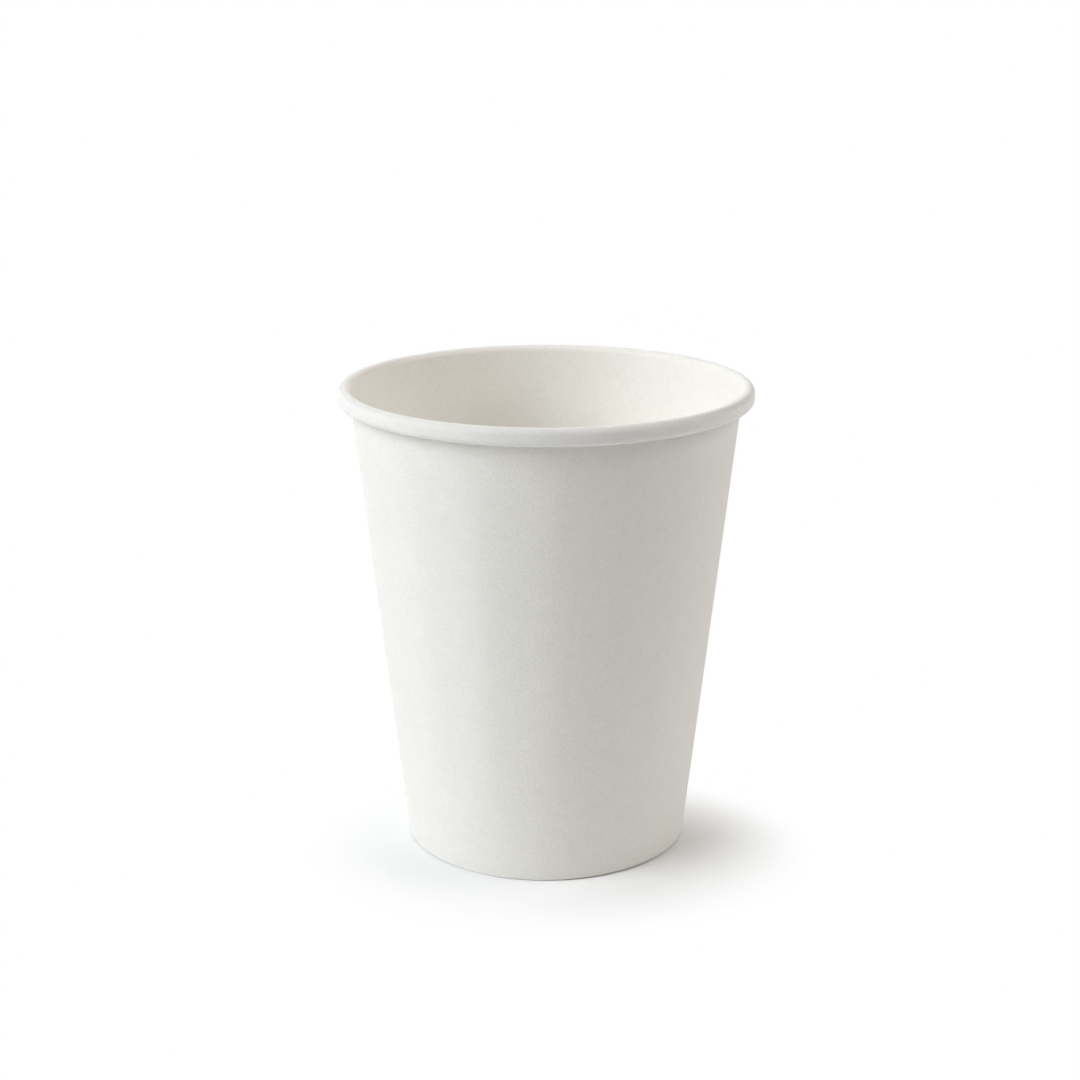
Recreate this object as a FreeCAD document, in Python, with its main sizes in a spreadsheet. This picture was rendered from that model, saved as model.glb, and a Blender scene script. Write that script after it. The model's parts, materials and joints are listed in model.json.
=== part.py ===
import FreeCAD, Part
import math
import os

import Sketcher
from FreeCAD import Placement, Rotation, Vector

# A single-wall paper cup for hot drinks, made of two pieces of coated board.
#
# sidewall     one fan-shaped blank wrapped into a cone.  Its straight ends overlap in a glued
#              seam, its lower edge is folded in and up round the skirt of the bottom, and its
#              upper edge is rolled outward into the rim.
# bottom_disc  a disc whose edge is drawn down into a skirt, gripped between wall and fold.
#
# The origin is the centre of the ring that the cup stands on, and +Z points up.  A section is
# drawn in the half-plane of radius (sketch x) and height (sketch y).  The board's lining is its
# coated face: inside the cup, and outside the rolled rim.

SIZES = [
    ("rim_diameter", 80.0, "outside of the rolled rim"),
    ("base_diameter", 55.2, "outside of the wall where it meets the table"),
    ("cup_height", 91.5, "table to the top of the rim"),
    ("board", 0.30, "thickness of the wall board"),
    ("base_board", 0.28, "thickness of the bottom board"),
    ("curl_core", 0.05, "radius left open in the tightest bend of the rolled rim"),
    ("curl_gap", 0.05, "play between the end of the roll and the wall"),
    ("curl_side", 0.85, "straight outer side of the rolled rim"),
    ("curl_tail", 1.0, "straight end of the board inside the roll"),
    ("crease", 0.05, "inner radius of the two bends of the bottom fold"),
    ("recess", 8.0, "table to the underside of the bottom disc"),
    ("disc_bend", 0.5, "inner radius where the disc turns down into its skirt"),
    ("fold_gap", 0.3, "top of the bottom fold to the start of the disc's bend"),
    ("skirt_gap", 0.3, "bends of the bottom fold to the lower edge of the skirt"),
    ("seam_overlap", 10.0, "degrees that the two ends of the blank overlap"),
    ("seam_step", 6.0, "degrees over which the outer end climbs onto the inner one"),
    ("seam_azimuth", 135.0, "degrees from +X to the inner end of the blank"),
]

# Lengths, places and the wall's lean, worked out from the sizes.  The roll is as wide as four
# boards, so that both ends of the blank fit into it one on the other at the seam.
ROLL = "(4 * Sizes.board + Sizes.curl_gap + Sizes.curl_core)"
TUCK = "(2 * Sizes.board + Sizes.curl_core)"
ROLL_X = f"(Sizes.rim_diameter / 2 - {ROLL})"
ROLL_Z = f"(Sizes.cup_height - {ROLL})"
ROLL_LOW_Z = f"({ROLL_Z} - Sizes.curl_side)"
RUN = f"({ROLL_X} - Sizes.base_diameter / 2)"
LEAN = f"(atan({RUN} / {ROLL_Z}) - asin(({ROLL} - Sizes.board) / sqrt({RUN}^2 + {ROLL_Z}^2)))"
CREASE_Z = "(Sizes.board + Sizes.crease)"
DISC_BEND_Z = "(Sizes.recess - Sizes.disc_bend)"
FOLD_TOP = f"({DISC_BEND_Z} - Sizes.fold_gap)"
SKIRT_FOOT = f"({CREASE_Z} + Sizes.skirt_gap)"


def inside_wall(distance, level):
    """Radius, at a level, of a line parallel to the wall and a distance inside its lining."""
    return (f"({ROLL_X} - ({ROLL} + {distance}) / cos({LEAN})"
            f" - ({ROLL_Z} - {level}) * tan({LEAN}))")


doc = FreeCAD.newDocument("paper_cup")
sizes = doc.addObject("Spreadsheet::Sheet", "Sizes")
for row, (alias, value, meaning) in enumerate(SIZES, start=1):
    sizes.set(f"A{row}", meaning)
    sizes.set(f"B{row}", str(value))
    sizes.setAlias(f"B{row}", alias)
doc.recompute()


def worth(expression):
    """The number that an expression on the sizes comes to."""
    result = sizes.evalExpression(expression)
    return float(getattr(result, "Value", result))


def origin_feature(body, role):
    """One of the body's own origin planes or axes."""
    return next(feature for feature in body.Origin.OriginFeatures if feature.Role == role)


def polar(centre, radius, degrees):
    """The point at a polar angle round a centre."""
    angle = math.radians(degrees)
    return centre[0] + radius * math.cos(angle), centre[1] + radius * math.sin(angle)


class Section:
    """A closed outline in the half-plane, drawn stroke by stroke and held by bound constraints.

    A stroke is its geometry number, the point that it starts from and the point it ends at.
    """

    def __init__(self, body, name, turn=None):
        """Turn is an expression in degrees, for a half-plane turned clockwise about the axis."""
        self.sketch = body.newObject("Sketcher::SketchObject", name)
        self.sketch.AttachmentSupport = (origin_feature(body, "XZ_Plane"), [""])
        self.sketch.MapMode = "FlatFace"
        if turn:
            about_axis = Rotation(Vector(0, -1, 0), worth(turn))
            self.sketch.AttachmentOffset = Placement(Vector(), about_axis)
            self.sketch.setExpression("AttachmentOffset.Rotation.Angle", turn)

    def line(self, start, end):
        """A straight stroke."""
        edge = Part.LineSegment(Vector(*start, 0), Vector(*end, 0))
        return self.sketch.addGeometry(edge, False), 1, 2

    def bend(self, centre, radius, begin, finish):
        """A round stroke from one polar angle to another, in either sense."""
        circle = Part.Circle(Vector(*centre, 0), Vector(0, 0, 1), radius)
        low, high = sorted((math.radians(begin), math.radians(finish)))
        number = self.sketch.addGeometry(Part.ArcOfCircle(circle, low, high), False)
        return (number, 1, 2) if begin < finish else (number, 2, 1)

    def hold(self, kind, *where):
        """A constraint without a size."""
        self.sketch.addConstraint(Sketcher.Constraint(kind, *where))

    def size(self, kind, *where, bound):
        """A constraint whose size is an expression on the sheet."""
        number = self.sketch.addConstraint(Sketcher.Constraint(kind, *where, worth(bound)))
        self.sketch.setExpression(f"Constraints[{number}]", bound)

    def place(self, number, point, x, z):
        """Holds a point of a stroke at a radius and a height."""
        self.size("DistanceX", -1, 1, number, point, bound=x)
        self.size("DistanceY", -1, 1, number, point, bound=z)

    def join(self, strokes, kind):
        """Joins each stroke of a chain to the next."""
        for (one, _, end), (two, start, _) in zip(strokes, strokes[1:]):
            self.hold(kind, one, end, two, start)


def board_section(body, name, ply, turn=None):
    """Section of the wall board; ply 1 lies one board outside ply 0, or inside it in the roll."""
    section = Section(body, name, turn)
    lean = worth(LEAN)
    lap = f"{ply} * Sizes.board"
    to_crease = f"(Sizes.crease - {lap})"
    to_fold_crease = f"(Sizes.base_board - Sizes.crease + {lap})"
    roll = f"({ROLL} - {lap})"
    tuck = f"({TUCK} - {lap})"
    tuck_z = f"({ROLL_LOW_Z} - {ROLL} + {TUCK})"
    # Each bend: its name, its centre, the radius of its lining, whether the outside of the board
    # is its wide (1) or its tight face (-1), and its polar angles.
    bends = [
        ("fold_bend", inside_wall(to_fold_crease, CREASE_Z), CREASE_Z, "Sizes.crease", 1,
         180 - lean, 270),
        ("wall_bend", inside_wall(to_crease, CREASE_Z), CREASE_Z, "Sizes.crease", 1,
         270, 360 - lean),
        ("roll_top", ROLL_X, ROLL_Z, roll, -1, 180 - lean, 0),
        ("roll_low", ROLL_X, ROLL_LOW_Z, roll, -1, 0, -90),
        ("roll_tuck", ROLL_X, tuck_z, tuck, -1, -90, -180),
    ]
    straights = {"fold_bend": "fold", "wall_bend": "foot", "roll_top": "wall", "roll_low": "side"}

    def draw_face(depth):
        """The strokes of one face of the board, from the fold's edge to the end of the roll."""
        strokes = {}
        pen = None
        for bend, x, z, lining, wide, begin, finish in bends:
            centre = (worth(x), worth(z))
            radius = worth(lining) + wide * depth
            start = polar(centre, radius, begin)
            if pen is None:
                rise = (worth(FOLD_TOP) - centre[1]) / math.cos(math.radians(lean))
                pen = polar(start, rise, 90 - lean)
            if bend in straights:
                strokes[straights[bend]] = section.line(pen, start)
            strokes[bend] = section.bend(centre, radius, begin, finish)
            pen = polar(centre, radius, finish)
        strokes["tail"] = section.line(pen, (pen[0], pen[1] + worth("Sizes.curl_tail")))
        return strokes

    def end_of(stroke, last):
        """Where a straight stroke ends, or starts."""
        edge = section.sketch.Geometry[stroke[0]]
        corner = edge.EndPoint if last else edge.StartPoint
        return corner.x, corner.y

    lining_face = draw_face(0)
    outer_face = draw_face(worth("Sizes.board"))
    fold, tail = lining_face["fold"], lining_face["tail"]
    outer_fold, outer_tail = outer_face["fold"], outer_face["tail"]
    fold_edge = section.line(end_of(fold, False), end_of(outer_fold, False))
    tail_edge = section.line(end_of(tail, True), end_of(outer_tail, True))

    for face in (lining_face, outer_face):
        section.join(list(face.values()), "Tangent")
    for edge, one, other, point in ((fold_edge, fold, outer_fold, 1),
                                    (tail_edge, tail, outer_tail, 2)):
        section.hold("Coincident", edge[0], 1, one[0], point)
        section.hold("Coincident", edge[0], 2, other[0], point)
        section.hold("Perpendicular", edge[0], one[0])
        section.hold("Parallel", one[0], other[0])
    for bend, x, z, lining, wide, _, _ in bends:
        inner, outer = lining_face[bend][0], outer_face[bend][0]
        section.hold("Coincident", inner, 3, outer, 3)
        section.size("Radius", inner, bound=lining)
        section.size("DistanceX", -1, 1, inner, 3, bound=x)
        if bend != "roll_tuck":
            section.size("DistanceY", -1, 1, inner, 3, bound=z)
            section.size("Radius", outer, bound=f"{lining} + {wide} * Sizes.board")
    section.hold("Parallel", fold[0], lining_face["wall"][0])
    section.hold("Vertical", tail[0])
    section.size("Distance", tail[0], bound="Sizes.curl_tail")
    section.size("DistanceY", -1, 1, fold[0], 1, bound=FOLD_TOP)
    return section.sketch


def revolve(body, name, sketch, degrees=None):
    """Turns a section anticlockwise about the cup's axis, through an expression in degrees."""
    feature = body.newObject("PartDesign::Revolution", name)
    feature.Profile = sketch
    feature.ReferenceAxis = (sketch, ["V_Axis"])
    feature.Angle = 360
    if degrees:
        feature.Angle = worth(degrees)
        feature.setExpression("Angle", degrees)
    return feature


def build_sidewall():
    """The wrapped blank: a ply all round, the step at its outer end, and the lapped end."""
    body = doc.addObject("PartDesign::Body", "sidewall")
    body.Label = "sidewall"
    inner_end = board_section(body, "inner_end", 0)
    step_start = board_section(body, "step_start", 0, "Sizes.seam_step")
    outer_end = board_section(body, "outer_end", 1)
    revolve(body, "ply", inner_end, "360 - Sizes.seam_step")
    step = body.newObject("PartDesign::AdditiveLoft", "step")
    step.Profile = step_start
    step.Sections = [outer_end]
    step.Ruled = True
    revolve(body, "lap", outer_end, "Sizes.seam_overlap")
    body.Placement = Placement(Vector(), Rotation(Vector(0, 0, 1), worth("Sizes.seam_azimuth")))
    return body


def disc_section(body, name):
    """Section of the bottom: flat disc, rounded edge, and skirt lying on the wall's lining."""
    section = Section(body, name)
    lean = worth(LEAN)
    outer_bend = "(Sizes.disc_bend + Sizes.base_board)"
    bend_x = inside_wall(outer_bend, DISC_BEND_Z)
    foot_x = inside_wall("0", SKIRT_FOOT)
    centre = (worth(bend_x), worth(DISC_BEND_Z))
    inner_radius, outer_radius = worth("Sizes.disc_bend"), worth(outer_bend)
    skirt_foot = (worth(foot_x), worth(SKIRT_FOOT))
    inner_foot = polar(skirt_foot, worth("Sizes.base_board"), 180 - lean)

    top = section.line((0, centre[1] + outer_radius), polar(centre, outer_radius, 90))
    edge = section.bend(centre, outer_radius, 90, -lean)
    skirt = section.line(polar(centre, outer_radius, -lean), skirt_foot)
    foot = section.line(skirt_foot, inner_foot)
    inner_skirt = section.line(inner_foot, polar(centre, inner_radius, -lean))
    inner_edge = section.bend(centre, inner_radius, -lean, 90)
    underside = section.line(polar(centre, inner_radius, 90), (0, centre[1] + inner_radius))
    axis = section.line((0, centre[1] + inner_radius), (0, centre[1] + outer_radius))

    section.join([top, edge, skirt], "Tangent")
    section.join([inner_skirt, inner_edge, underside], "Tangent")
    section.join([skirt, foot, inner_skirt], "Coincident")
    section.join([underside, axis, top], "Coincident")
    section.hold("Coincident", edge[0], 3, inner_edge[0], 3)
    section.hold("Perpendicular", foot[0], skirt[0])
    section.hold("Parallel", inner_skirt[0], skirt[0])
    section.hold("Horizontal", top[0])
    section.hold("Horizontal", underside[0])
    for point in (1, 2):
        section.hold("PointOnObject", axis[0], point, -2)
    section.place(edge[0], 3, bend_x, DISC_BEND_Z)
    section.place(foot[0], 1, foot_x, SKIRT_FOOT)
    section.size("Radius", edge[0], bound=outer_bend)
    section.size("Radius", inner_edge[0], bound="Sizes.disc_bend")
    return section.sketch


def build_bottom_disc():
    """The drawn disc, with its skirt face to face with the wall and the fold."""
    body = doc.addObject("PartDesign::Body", "bottom_disc")
    body.Label = "bottom_disc"
    revolve(body, "drawn_bottom", disc_section(body, "drawn_disc"))
    return body


pieces = [build_sidewall(), build_bottom_disc()]
doc.recompute()

for item in doc.Objects:
    faults = {"Invalid", "Error"} & set(item.State)
    if faults:
        raise RuntimeError(f"{item.Name} did not recompute: {sorted(faults)}")
for piece in pieces:
    if piece.Shape.isNull() or not piece.Shape.isValid() or len(piece.Shape.Solids) != 1:
        raise RuntimeError(f"{piece.Label} is not one valid solid")

os.makedirs("parts", exist_ok=True)
for piece in pieces:
    piece.Shape.exportStep(f"parts/{piece.Label}.step")
    print(f"{piece.Label}: {piece.Shape.Volume:.1f} mm3")
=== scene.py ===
import json
import math

import bpy
import numpy as np
from mathutils import Euler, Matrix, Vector


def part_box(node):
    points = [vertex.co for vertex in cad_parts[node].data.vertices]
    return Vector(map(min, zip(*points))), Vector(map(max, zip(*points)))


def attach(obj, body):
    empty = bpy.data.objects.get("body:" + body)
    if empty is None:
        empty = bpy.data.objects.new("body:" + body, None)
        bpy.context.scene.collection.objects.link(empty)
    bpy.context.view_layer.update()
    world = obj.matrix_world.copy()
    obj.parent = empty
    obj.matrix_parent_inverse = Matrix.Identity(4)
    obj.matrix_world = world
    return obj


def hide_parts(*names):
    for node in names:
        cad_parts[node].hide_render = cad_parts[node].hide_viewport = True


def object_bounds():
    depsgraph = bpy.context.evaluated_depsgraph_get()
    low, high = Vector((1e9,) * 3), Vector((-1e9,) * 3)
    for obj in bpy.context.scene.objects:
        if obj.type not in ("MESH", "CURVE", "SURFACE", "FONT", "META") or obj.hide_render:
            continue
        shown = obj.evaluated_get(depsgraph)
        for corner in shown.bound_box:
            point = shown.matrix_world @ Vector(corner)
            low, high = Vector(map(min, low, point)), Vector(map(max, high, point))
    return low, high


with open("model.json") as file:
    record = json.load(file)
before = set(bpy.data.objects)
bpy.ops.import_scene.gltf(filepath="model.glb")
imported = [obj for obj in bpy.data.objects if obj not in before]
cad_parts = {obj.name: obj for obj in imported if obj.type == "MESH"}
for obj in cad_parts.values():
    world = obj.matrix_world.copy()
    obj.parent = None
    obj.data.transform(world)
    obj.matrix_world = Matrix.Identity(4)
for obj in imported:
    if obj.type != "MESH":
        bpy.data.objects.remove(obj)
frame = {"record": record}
cad_low, cad_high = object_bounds()

# A single-wall paper cup.  Lengths are in metres, angles in degrees, and a section lies in the
# half-plane of radius and height.  The lining is the coated face of the board: inside the cup,
# and outside the rolled rim.

MM = 0.001
RIM_RADIUS = frame["record"]["mounts"][1]["dims"]["r_mm"] * MM
HEIGHT = cad_high.z
BASE_RADIUS = 27.6 * MM

BOARD = 0.30 * MM         # thickness of the wall's board
BASE_BOARD = 0.28 * MM    # thickness of the bottom's board
CURL_CORE = 0.05 * MM     # radius left open in the tightest bend of the rolled rim
CURL_GAP = 0.05 * MM      # play between the end of the roll and the wall
ROLL_SIDE = 0.85 * MM     # straight outer side of the roll
ROLL_TAIL = 1.0 * MM      # straight end of the board inside the roll
CREASE = 0.05 * MM        # inner radius of the two bends of the bottom fold
DISC_BEND = 0.5 * MM      # inner radius where the disc turns down into its skirt
FOLD_GAP = 0.3 * MM       # top of the bottom fold to the start of the disc's bend
SKIRT_GAP = 0.3 * MM      # bends of the bottom fold to the lower edge of the skirt

SEAM_AZIMUTH = 135.0      # direction of the inner end of the wall's board
SEAM_OVERLAP = 10.0       # how far the outer end laps over it
SEAM_STEP = 14.0          # over how much of the turn a lapped end moves into its place
GLUE = 0.012 * MM         # gap between the lapped ends
SKIVE = 0.25 * MM         # how much thinner the board is at its inner end

DISH = 0.15 * MM          # how far the middle of the bottom sinks
PUCKER = 0.03 * MM        # height of the creases round the edge of the bottom
PUCKER_START = 0.72       # share of the bottom's radius at which they begin
PUCKER_RISE = 0.20        # share over which they grow
PUCKER_FALL = 0.06        # share over which they end at its edge

SWAY = 0.05 * MM          # how far the wall strays from a true cone
SWAY_START = 9 * MM       # height up to which the bottom keeps the wall round
SWAY_RISE = 14 * MM       # height over which the sway sets in above that
SWAY_FALL = 12 * MM       # height over which it ends under the roll
WAVE_TILT = 200           # how far a wave's phase shifts at most from the table to the rim

STANDING_POINTS = 3
FOOT_GAP = 0.30 * MM      # how far the foot rises from the table between them

# The roll is as wide as four boards, so that both ends fit into it at the seam.
ROLL_RADIUS = CURL_GAP + CURL_CORE + 4 * BOARD
TUCK_RADIUS = CURL_CORE + 2 * BOARD
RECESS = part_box("bottom_disc")[1].z - BASE_BOARD
FOLD_TOP = RECESS - DISC_BEND - FOLD_GAP
SKIRT_FOOT = BOARD + CREASE + SKIRT_GAP
ROLL_X = RIM_RADIUS - ROLL_RADIUS
ROLL_Z = HEIGHT - ROLL_RADIUS
ROLL_LOW_Z = ROLL_Z - ROLL_SIDE
LEAN = (math.atan2(ROLL_X - BASE_RADIUS, ROLL_Z)
        - math.asin((ROLL_RADIUS - BOARD) / math.hypot(ROLL_X - BASE_RADIUS, ROLL_Z)))

# Steps along each stretch of a section, and round the cup.
FOLD_STEPS, CREASE_STEPS, WALL_STEPS = 8, 5, 20
ROLL_TOP_STEPS, ROLL_LOW_STEPS, TUCK_STEPS, TAIL_STEPS = 22, 12, 8, 3
DISC_STEPS, DISC_BEND_STEPS = 24, 10
SINGLE_COLUMNS, STEP_COLUMNS, LAP_COLUMNS = 354, 12, 10
BOTTOM_COLUMNS = 360
DISC_SPREAD = 0.7         # below 1, the disc's steps are finer towards its edge
SHARP = 40                # angle from which an edge stays crisp


# ------------------------------------------------------------------------------ sections

def inside_wall(distance, level):
    """Radius, at a level, of a line parallel to the wall and a distance inside its lining."""
    return (ROLL_X - (ROLL_RADIUS + distance) / math.cos(LEAN)
            - (ROLL_Z - level) * math.tan(LEAN))


def arc(centre, radius, begin, finish, steps):
    """Points along an arc between two polar angles, both ends included."""
    angles = np.radians(np.linspace(begin, finish, steps + 1))
    return np.array(centre) + radius * np.stack([np.cos(angles), np.sin(angles)], axis=1)


def onward(begin, finish, steps):
    """Even steps from a beginning, which is left out, to an end."""
    return np.linspace(begin, finish, steps + 1)[1:]


def board_face(depth, over, lift):
    """One face of the wall board, from the upper edge of the fold to the end of the roll.

    Depth is the distance from the lining through the board, over is how far the board lies
    outside its usual place, and lift how far its foot is raised from the table.
    """
    lean = math.degrees(LEAN)
    crease_z = BOARD + CREASE + lift
    fold_x = inside_wall(BASE_BOARD - CREASE + over, crease_z)
    wall_x = inside_wall(CREASE - over, crease_z)
    tuck_z = ROLL_LOW_Z - ROLL_RADIUS + TUCK_RADIUS
    roll = ROLL_RADIUS - over - depth
    tuck = TUCK_RADIUS - over - depth
    along_fold = [math.sin(LEAN), math.cos(LEAN)]

    fold_bend = arc((fold_x, crease_z), CREASE + depth, 180 - lean, 270, CREASE_STEPS)
    rise = (FOLD_TOP - crease_z) / math.cos(LEAN)
    fold = fold_bend[0] + np.outer(np.linspace(rise, 0, FOLD_STEPS + 1)[:-1], along_fold)
    wall_bend = arc((wall_x, crease_z), CREASE + depth, 270, 360 - lean, CREASE_STEPS)
    roll_top = arc((ROLL_X, ROLL_Z), roll, 180 - lean, 0, ROLL_TOP_STEPS)
    share = onward(0, 1, WALL_STEPS)[:-1, None]
    wall = wall_bend[-1] * (1 - share) + roll_top[0] * share
    roll_low = arc((ROLL_X, ROLL_LOW_Z), roll, 0, -90, ROLL_LOW_STEPS)
    roll_tuck = arc((ROLL_X, tuck_z), tuck, -90, -180, TUCK_STEPS)[1:]
    tail = roll_tuck[-1] + np.outer(onward(0, ROLL_TAIL, TAIL_STEPS), [0, 1])
    return np.concatenate([fold, fold_bend, wall_bend, wall, roll_top, roll_low, roll_tuck, tail])


def board_loop(over, lift, skive):
    """The closed section of the wall board: the lining forward, the outside back.

    Skive is how much thinner the board is made, by taking off its bare side.
    """
    outside = board_face(BOARD - skive, over, lift)
    return np.concatenate([board_face(0, over, lift), outside[::-1]])


def smooth(value):
    """An even ramp from 0 to 1 with soft ends."""
    value = np.clip(value, 0, 1)
    return value * value * (3 - 2 * value)


def waves(seed, count, least, most):
    """Random waves: how often each goes round the cup, its tilt, its phase and its height."""
    dice = np.random.RandomState(seed)
    return [(dice.randint(least, most + 1), dice.uniform(-WAVE_TILT, WAVE_TILT),
             dice.uniform(0, 360), dice.normal() / math.sqrt(count)) for _ in range(count)]


WALL_WAVES = waves(seed=7, count=10, least=2, most=16)
EDGE_WAVES = waves(seed=11, count=14, least=18, most=60)


def wavy(chosen, azimuth, height):
    """Sum of a set of waves at an azimuth and a height or heights."""
    return sum(share * np.cos(np.radians(often * azimuth + tilt * height / HEIGHT + phase))
               for often, tilt, phase, share in chosen)


def foot_gap(azimuth):
    """How far the foot is off the table: nothing at the seam and at the other standing points."""
    return FOOT_GAP * (1 - np.cos(np.radians(STANDING_POINTS * (azimuth - SEAM_AZIMUTH)))) / 2


def sway(azimuth, height):
    """How far the wall lies outside a true cone, fading out towards its foot and the roll."""
    free = (smooth((height - SWAY_START) / SWAY_RISE)
            * smooth((ROLL_LOW_Z - height) / SWAY_FALL))
    return SWAY * free * wavy(WALL_WAVES, azimuth, height)


def turned(section, degrees):
    """Points of a section turned to an angle about the cup's axis."""
    angle = math.radians(degrees)
    radius, height = section[:, 0], section[:, 1]
    return np.stack([radius * math.cos(angle), radius * math.sin(angle), height], axis=1)


# ------------------------------------------------------------------------------ pieces

OUTSIDE, LINING, EDGE = range(3)


def placed(name, data):
    """A new object of the scene that holds a mesh, a lamp or a camera."""
    holder = bpy.data.objects.new(name, data)
    bpy.context.scene.collection.objects.link(holder)
    return holder


def mesh_piece(name, points, faces, kinds, materials):
    """A mesh object from points, faces and the number of each face's material."""
    mesh = bpy.data.meshes.new(name)
    mesh.from_pydata([tuple(point) for point in points], [], faces)
    for material in materials:
        mesh.materials.append(material)
    mesh.polygons.foreach_set("material_index", kinds)
    mesh.shade_smooth()
    mesh.set_sharp_from_angle(angle=math.radians(SHARP))
    mesh.validate()
    return placed(name, mesh)


def build_sidewall(materials):
    """The blank, from its inner end round the cup and over itself to its outer end."""
    turns = np.concatenate([[0], onward(0, 360 - SEAM_STEP, SINGLE_COLUMNS),
                            onward(360 - SEAM_STEP, 360, STEP_COLUMNS),
                            onward(360, 360 + SEAM_OVERLAP, LAP_COLUMNS)])
    skive = SKIVE * (1 - smooth(turns / SEAM_OVERLAP))
    lapped = BOARD + GLUE - SKIVE * (1 - smooth((turns - 360) / SEAM_OVERLAP))
    over = lapped * smooth((turns - 360 + SEAM_STEP) / SEAM_STEP)
    lift = (BOARD + GLUE - skive) * (1 - smooth((turns - SEAM_OVERLAP - 1) / SEAM_STEP))

    points = []
    for turn, outward, raised, thinner in zip(turns, over, lift, skive):
        azimuth = SEAM_AZIMUTH + turn
        section = board_loop(outward, raised + foot_gap(azimuth), thinner)
        section[:, 0] += sway(azimuth, section[:, 1])
        points.append(turned(section, azimuth))

    size = len(points[0])
    half = size // 2
    faces, kinds = [], []
    for column in range(len(turns) - 1):
        here, there = column * size, (column + 1) * size
        for row in range(size):
            after = (row + 1) % size
            faces.append((here + row, there + row, there + after, here + after))
            kinds.append(EDGE if row in (half - 1, size - 1) else LINING if row < half else OUTSIDE)
    for first in (0, (len(turns) - 1) * size):
        for row in range(half - 1):
            last = first + size - 1 - row
            face = (first + row, first + row + 1, last - 1, last)
            faces.append(face if first == 0 else face[::-1])
            kinds.append(EDGE)
    return mesh_piece("wrapped_board", np.concatenate(points), faces, kinds, materials)


def build_bottom(materials):
    """The drawn disc: a slightly sunken floor, a rounded edge and the skirt under it."""
    lean = math.degrees(LEAN)
    bend_z = RECESS - DISC_BEND
    bend_x = inside_wall(DISC_BEND + BASE_BOARD, bend_z)
    top_bend = arc((bend_x, bend_z), DISC_BEND + BASE_BOARD, 90, -lean, DISC_BEND_STEPS)
    low_bend = arc((bend_x, bend_z), DISC_BEND, -lean, 90, DISC_BEND_STEPS)
    foot = np.array([inside_wall(0, SKIRT_FOOT), SKIRT_FOOT])
    inward = np.array([-math.cos(LEAN), math.sin(LEAN)]) * BASE_BOARD
    shares = onward(0, 1, DISC_STEPS)[:-1] ** DISC_SPREAD

    def dished(edge):
        """A face of the disc, from beside its middle to beside its edge."""
        return np.stack([edge[0] * shares, edge[1] - DISH * (1 - shares ** 2)], axis=1)

    top = dished(top_bend[0])
    under = dished(low_bend[-1])[::-1]
    section = np.concatenate([top, top_bend, [foot], [foot + inward], low_bend, under])
    out = section[:, 0] / bend_x
    creased = smooth((out - PUCKER_START) / PUCKER_RISE) * smooth((1 - out) / PUCKER_FALL)
    points = []
    for column in range(BOTTOM_COLUMNS):
        azimuth = column * 360 / BOTTOM_COLUMNS
        line = section.copy()
        line[:, 1] += PUCKER * creased * wavy(EDGE_WAVES, azimuth, 0)
        points.append(turned(line, azimuth))
    points.append([[0, 0, top_bend[0][1] - DISH], [0, 0, low_bend[-1][1] - DISH]])

    size = len(section)
    starts = [column * size for column in range(BOTTOM_COLUMNS)]
    columns = list(zip(starts, starts[1:] + starts[:1]))
    middle = BOTTOM_COLUMNS * size
    lining_rows = len(top) + len(top_bend)
    faces, kinds = [], []
    for here, there in columns:
        for row in range(size - 1):
            faces.append((here + row, here + row + 1, there + row + 1, there + row))
            kinds.append(LINING if row < lining_rows else OUTSIDE)
    for here, there in columns:
        faces += [(middle, here, there), (middle + 1, there + size - 1, here + size - 1)]
        kinds += [LINING, OUTSIDE]
    return mesh_piece("drawn_bottom", np.concatenate(points), faces, kinds, materials)


# ------------------------------------------------------------------------------ finishes

class Link:
    """A socket's value.  Plain sums with it add Math nodes to its graph."""

    def __init__(self, finish, socket):
        self.finish = finish
        self.socket = socket

    def __add__(self, other):
        return self.finish.math("ADD", self, other)

    def __radd__(self, other):
        return self.finish.math("ADD", other, self)

    def __sub__(self, other):
        return self.finish.math("SUBTRACT", self, other)

    def __rsub__(self, other):
        return self.finish.math("SUBTRACT", other, self)

    def __mul__(self, other):
        return self.finish.math("MULTIPLY", self, other)

    def __rmul__(self, other):
        return self.finish.math("MULTIPLY", other, self)


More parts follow.
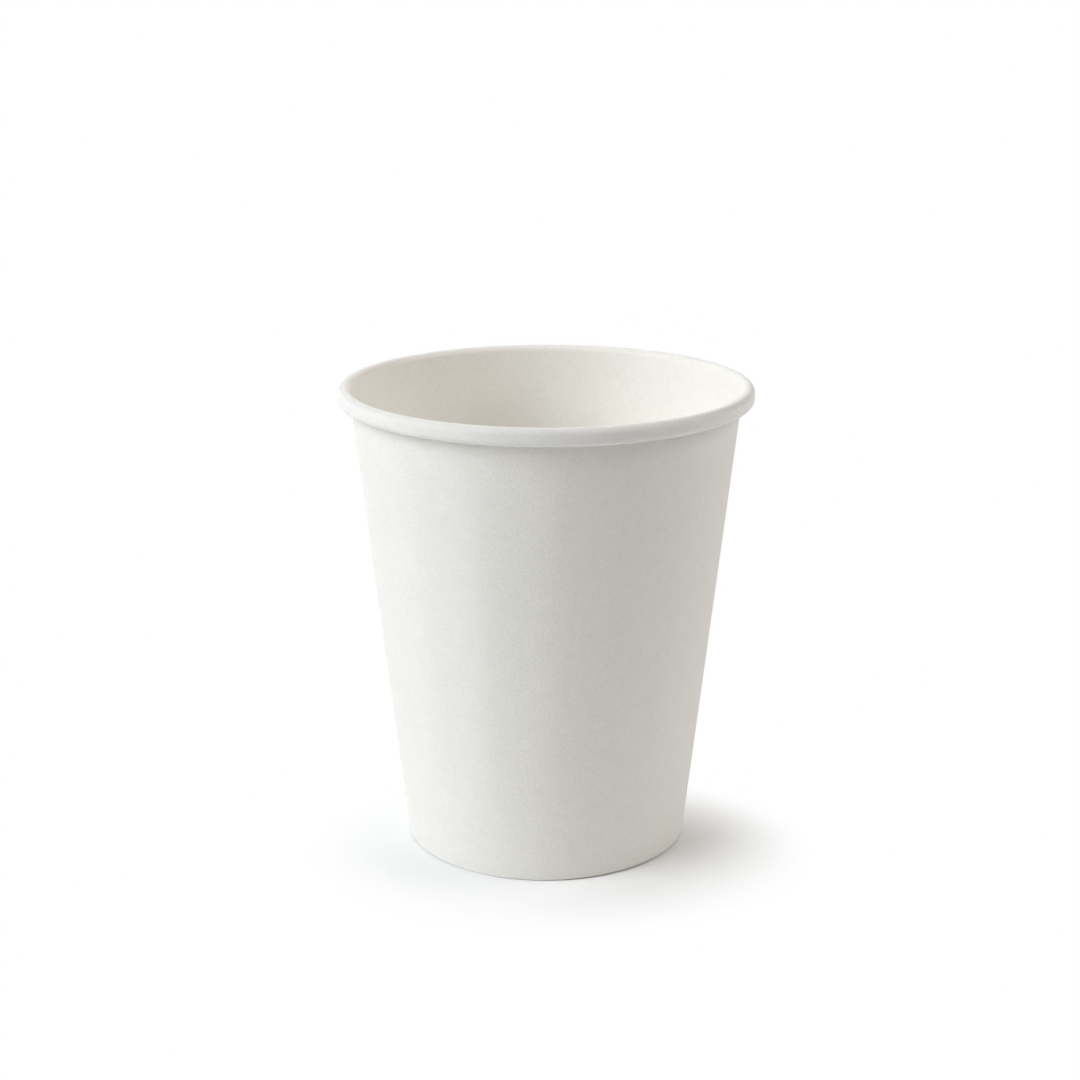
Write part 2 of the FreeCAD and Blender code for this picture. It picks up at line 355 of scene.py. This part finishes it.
class Finish:
    """The node graph of a material or of the world."""

    def __init__(self, owner):
        self.owner = owner
        owner.use_nodes = True
        owner.node_tree.nodes.clear()

    def node(self, kind, settings=None, sockets=None, out=0):
        """Adds a node, sets it up, and returns one of its outputs, if it has any."""
        made = self.owner.node_tree.nodes.new(kind)
        for key, value in (settings or {}).items():
            setattr(made, key, value)
        for key, value in (sockets or {}).items():
            if isinstance(value, Link):
                self.owner.node_tree.links.new(value.socket, made.inputs[key])
            else:
                made.inputs[key].default_value = value
        return Link(self, made.outputs[out]) if made.outputs else None

    def math(self, operation, *values):
        """A sum on numbers."""
        return self.node("ShaderNodeMath", {"operation": operation}, dict(enumerate(values)))

    def vector(self, operation, *values):
        """A sum on vectors or colours that gives another."""
        return self.node("ShaderNodeVectorMath", {"operation": operation},
                         dict(enumerate(values)))

    def length(self, vector):
        """The length of a vector."""
        return self.node("ShaderNodeVectorMath", {"operation": "LENGTH"}, {0: vector}, out=1)

    def grain(self, where, fineness, detail, roughness=0.5):
        """Cloudy noise from 0 to 1; fineness is the number of clouds in a millimetre."""
        return self.node("ShaderNodeTexNoise", {"noise_dimensions": "3D"},
                         {"Vector": where, "Scale": fineness / MM, "Detail": detail,
                          "Roughness": roughness})

    def blend(self, factor, first, second):
        """A colour between two others."""
        return self.node("ShaderNodeMix", {"data_type": "RGBA"},
                         {0: factor, 6: first, 7: second}, out=2)

    def ramp(self, value, low, high):
        """Goes softly from 0 to 1 while a value goes from low to high."""
        return self.node("ShaderNodeMapRange", {"interpolation_type": "SMOOTHSTEP"},
                         {"Value": value, "From Min": low, "From Max": high})

    def show(self, shader):
        """Ends the graph with its output node, and returns what it belongs to."""
        kind = "World" if isinstance(self.owner, bpy.types.World) else "Material"
        self.node("ShaderNodeOutput" + kind, sockets={"Surface": shader})
        return self.owner


BARE = (0.905, 0.895, 0.870, 1)             # the board's bare face
COATED_PAINTED_LIGHT = (0.982, 0.963, 0.922, 1)           # its lining in the cup: whiter than the bare face, and painted lighter for the light caught in the cup
COATED_PAINTED_SHADE = (0.890, 0.885, 0.872, 1)       # its lining on the roll, painted darker than in the cup, as shade on the rolled rim
EDGE_DARK = (0.74, 0.71, 0.65, 1)
EDGE_LIGHT = (0.88, 0.86, 0.82, 1)

THIN = 0.93               # brightness of the board's thinnest places, next to its thickest
GLOSS = 0.25              # how strongly its surface shines
FIBRE_CONTRAST = 3.0      # how clearly its fibres show in its colour
CLOUD_CONTRAST = 0.7      # how clearly the clouds that they lie in show there
ROUGHNESS_SPREAD = 0.12   # how far its roughness varies with those clouds
STREAK_STRETCH = 0.12     # fineness of the streaks up the wall, next to that round it
WALL_STREAKS = 0.3        # height of the streaks on the wall, next to that of the fibres
ROLL_STREAKS = 1.2        # how much higher they are on the roll
ROLL_FADE = 0.6           # the roll's painted shade and its creases set in over this share of its radius


def board_finish(name, colour, rim_colour, roughness, tooth, shift):
    """Coated or bare board: cloudy and grainy colour, fine tooth, creases across the rolled rim.

    Rim colour is the colour on the roll (on the lining, a painted shade), tooth the height of
    the surface's grain, and shift moves its pattern, so that no two faces have the same.
    """
    finish = Finish(bpy.data.materials.new(name))
    place = finish.node("ShaderNodeTexCoord", out="Object")
    radius = finish.length(finish.vector("MULTIPLY", place, (1, 1, 0)))
    rolled = finish.ramp(radius, ROLL_X - ROLL_FADE * ROLL_RADIUS, ROLL_X)

    place = finish.vector("ADD", place, shift)
    upright = finish.vector("MULTIPLY", place, (1, 1, STREAK_STRETCH))
    clouds = finish.grain(place, fineness=0.35, detail=3)
    fibres = finish.grain(place, fineness=2.4, detail=3, roughness=0.6)
    streaks = finish.grain(upright, fineness=1.1, detail=2)

    thickness = 0.5 + FIBRE_CONTRAST * (fibres - 0.5) + CLOUD_CONTRAST * (clouds - 0.5)
    # on the lining, the roll takes its rim colour: painted shade, darker than inside the cup
    whole = finish.blend(rolled, colour, rim_colour)
    thin = finish.vector("MULTIPLY", whole, (THIN, THIN, THIN))
    relief = fibres + streaks * (WALL_STREAKS + ROLL_STREAKS * rolled)
    shader = finish.node("ShaderNodeBsdfPrincipled", sockets={
        "Base Color": finish.blend(thickness, thin, whole),
        "Roughness": roughness + ROUGHNESS_SPREAD * (clouds - 0.5),
        "Specular IOR Level": GLOSS,
        "Normal": finish.node("ShaderNodeBump", sockets={"Height": relief, "Distance": tooth})})
    return finish.show(shader)


def edge_finish(name, roughness, spread, tooth):
    """The bare cut edge of the board, with the layers of its fibres along it."""
    finish = Finish(bpy.data.materials.new(name))
    place = finish.node("ShaderNodeTexCoord", out="Object")
    layers = finish.grain(place, fineness=5.0, detail=4, roughness=0.7)
    shader = finish.node("ShaderNodeBsdfPrincipled", sockets={
        "Base Color": finish.blend(layers, EDGE_DARK, EDGE_LIGHT),
        "Roughness": roughness + spread * layers,
        "Normal": finish.node("ShaderNodeBump", sockets={"Height": layers, "Distance": tooth})})
    return finish.show(shader)


wall_outside = board_finish("wall_outside", BARE, BARE, roughness=0.68, tooth=0.11 * MM,
                            shift=(0, 0, 0))
wall_lining = board_finish("wall_lining", COATED_PAINTED_LIGHT, COATED_PAINTED_SHADE, roughness=0.42, tooth=0.024 * MM,
                           shift=(0.2, 0, 0.3))
base_underside = board_finish("base_underside", BARE, BARE, roughness=0.70, tooth=0.032 * MM,
                              shift=(0.4, 0.1, 0.6))
base_lining = board_finish("base_lining", COATED_PAINTED_LIGHT, COATED_PAINTED_SHADE, roughness=0.42, tooth=0.018 * MM,
                           shift=(0.1, 0.5, 0.9))
cut_edge = edge_finish("cut_edge", roughness=0.8, spread=0.2, tooth=0.03 * MM)

wrapped_board = build_sidewall([wall_outside, wall_lining, cut_edge])
drawn_bottom = build_bottom([base_underside, base_lining])
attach(wrapped_board, "root")
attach(drawn_bottom, "root")
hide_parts("sidewall")
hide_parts("bottom_disc")


# ------------------------------------------------------------------------------ stage

WHITE = (1, 1, 1, 1)
TABLE_REACH = 8.0                       # from the cup to each side of the table
# Painted pool of light: for light that bounces, the table is pale at the cup and dark further out,
# as if lit more strongly there
TABLE_NEAR = (0.90, 0.90, 0.90, 1)      # what the table gives back at the cup
TABLE_FAR = (0.20, 0.20, 0.20, 1)       # what it gives back further out
TABLE_FADE = (0.10, 1.00)               # distances over which that falls
TABLE_SEEN = (0.938, 0.948, 0.965, 1)   # its colour where the shadow shows on it
SHADOW_MIDDLE = (0.003, -0.012, 0)      # the shadow is kept round this point
SHADOW_SHAPE = (1, 1.28, 1)             # it is shorter from front to back
SHADOW_FADE = (0.025, 0.0505)           # distances from there over which it turns white
BACKDROP_TOP = (0.30, 0.45)             # the white backdrop ends where a view rises this steeply
AMBIENT = (0.094, 0.084, 0.069, 1)

LAMP_DISTANCE = 1.3
LAMP_WIDTH = 0.9
LAMPS = (
    # name, azimuth, elevation, power, colour
    ("key", 210, 35, 9.0, (0.985, 0.985, 0.965)),
    ("left", 195, 35, 6.0, (0.87, 0.945, 1.0)),
    ("left_back", 150, 35, 2.3, (0.96, 0.98, 1.0)),
    ("right", 0, 35, 7.6, (1.0, 0.965, 0.915)),
    ("back", 90, 35, 3.0, (0.98, 0.99, 1.0)),
)

CAMERA_PLACE = (0, -0.40297, 0.17562)
CAMERA_DOWN = 16.006                    # how far it looks down
CAMERA_LENS = 71.234                    # in millimetres, as the film's width
CAMERA_FILM = 36
CAMERA_SHIFT = -0.005745


def seen_directly(finish):
    """1 for rays from the camera or by way of gloss or glass, 0 for light that bounces."""
    camera, gloss, glass = [finish.node("ShaderNodeLightPath", out=name)
                            for name in ("Is Camera Ray", "Is Glossy Ray", "Is Transmission Ray")]
    return finish.math("MAXIMUM", finish.math("MAXIMUM", camera, gloss), glass)


def table_finish():
    """A pale table that keeps the soft shadow at the cup and turns white further out."""
    finish = Finish(bpy.data.materials.new("table"))
    place = finish.node("ShaderNodeTexCoord", out="Object")
    aside = finish.vector("MULTIPLY", finish.vector("SUBTRACT", place, SHADOW_MIDDLE),
                          SHADOW_SHAPE)
    shadowed = finish.node("ShaderNodeBsdfDiffuse", sockets={"Color": TABLE_SEEN})
    white = finish.node("ShaderNodeEmission", sockets={"Color": WHITE, "Strength": 1})
    shown = finish.node("ShaderNodeMixShader", sockets={
        0: finish.ramp(finish.length(aside), *SHADOW_FADE), 1: shadowed, 2: white})
    # painted pool of light in the table's bounce colour, fading with distance from the cup
    colour = finish.blend(finish.ramp(finish.length(place), *TABLE_FADE), TABLE_NEAR, TABLE_FAR)
    table = finish.node("ShaderNodeBsdfDiffuse", sockets={"Color": colour})
    return finish.show(finish.node("ShaderNodeMixShader", sockets={
        0: seen_directly(finish), 1: table, 2: shown}))


def studio_world():
    """Dim light from all round, and a white backdrop behind the table where it is seen."""
    finish = Finish(bpy.data.worlds.new("studio"))
    direction = finish.node("ShaderNodeTexCoord", out="Generated")
    rise = finish.node("ShaderNodeSeparateXYZ", sockets={0: direction}, out="Z")
    ambient = finish.node("ShaderNodeBackground", sockets={"Color": AMBIENT})
    white = finish.node("ShaderNodeBackground", sockets={"Color": WHITE})
    return finish.show(finish.node("ShaderNodeMixShader", sockets={
        0: seen_directly(finish) * (1 - finish.ramp(rise, *BACKDROP_TOP)), 1: ambient, 2: white}))


def hang_lamp(name, azimuth, elevation, power, colour):
    """A soft square lamp that faces the cup from a direction."""
    lamp = bpy.data.lights.new(name, "AREA")
    lamp.size = LAMP_WIDTH
    lamp.energy = power
    lamp.color = colour
    towards = Vector((1, 0, 0))
    towards.rotate(Euler((0, -math.radians(elevation), math.radians(azimuth))))
    holder = placed(name, lamp)
    holder.location = Vector((0, 0, HEIGHT / 2)) + LAMP_DISTANCE * towards
    holder.rotation_euler = towards.to_track_quat("Z", "Y").to_euler()


floor_mesh = bpy.data.meshes.new("floor")
floor_mesh.from_pydata([(x * TABLE_REACH, y * TABLE_REACH, 0)
                        for x, y in ((-1, -1), (1, -1), (1, 1), (-1, 1))], [], [(0, 1, 2, 3)])
floor_mesh.materials.append(table_finish())
floor = placed("floor", floor_mesh)

for lamp_settings in LAMPS:
    hang_lamp(*lamp_settings)
bpy.context.scene.world = studio_world()

camera = placed("camera", bpy.data.cameras.new("camera"))
camera.location = CAMERA_PLACE
camera.rotation_euler = (math.radians(90 - CAMERA_DOWN), 0, 0)
camera.data.sensor_width = CAMERA_FILM
camera.data.lens = CAMERA_LENS
camera.data.shift_x = CAMERA_SHIFT
bpy.context.scene.camera = camera
bpy.context.scene.view_settings.view_transform = "Standard"
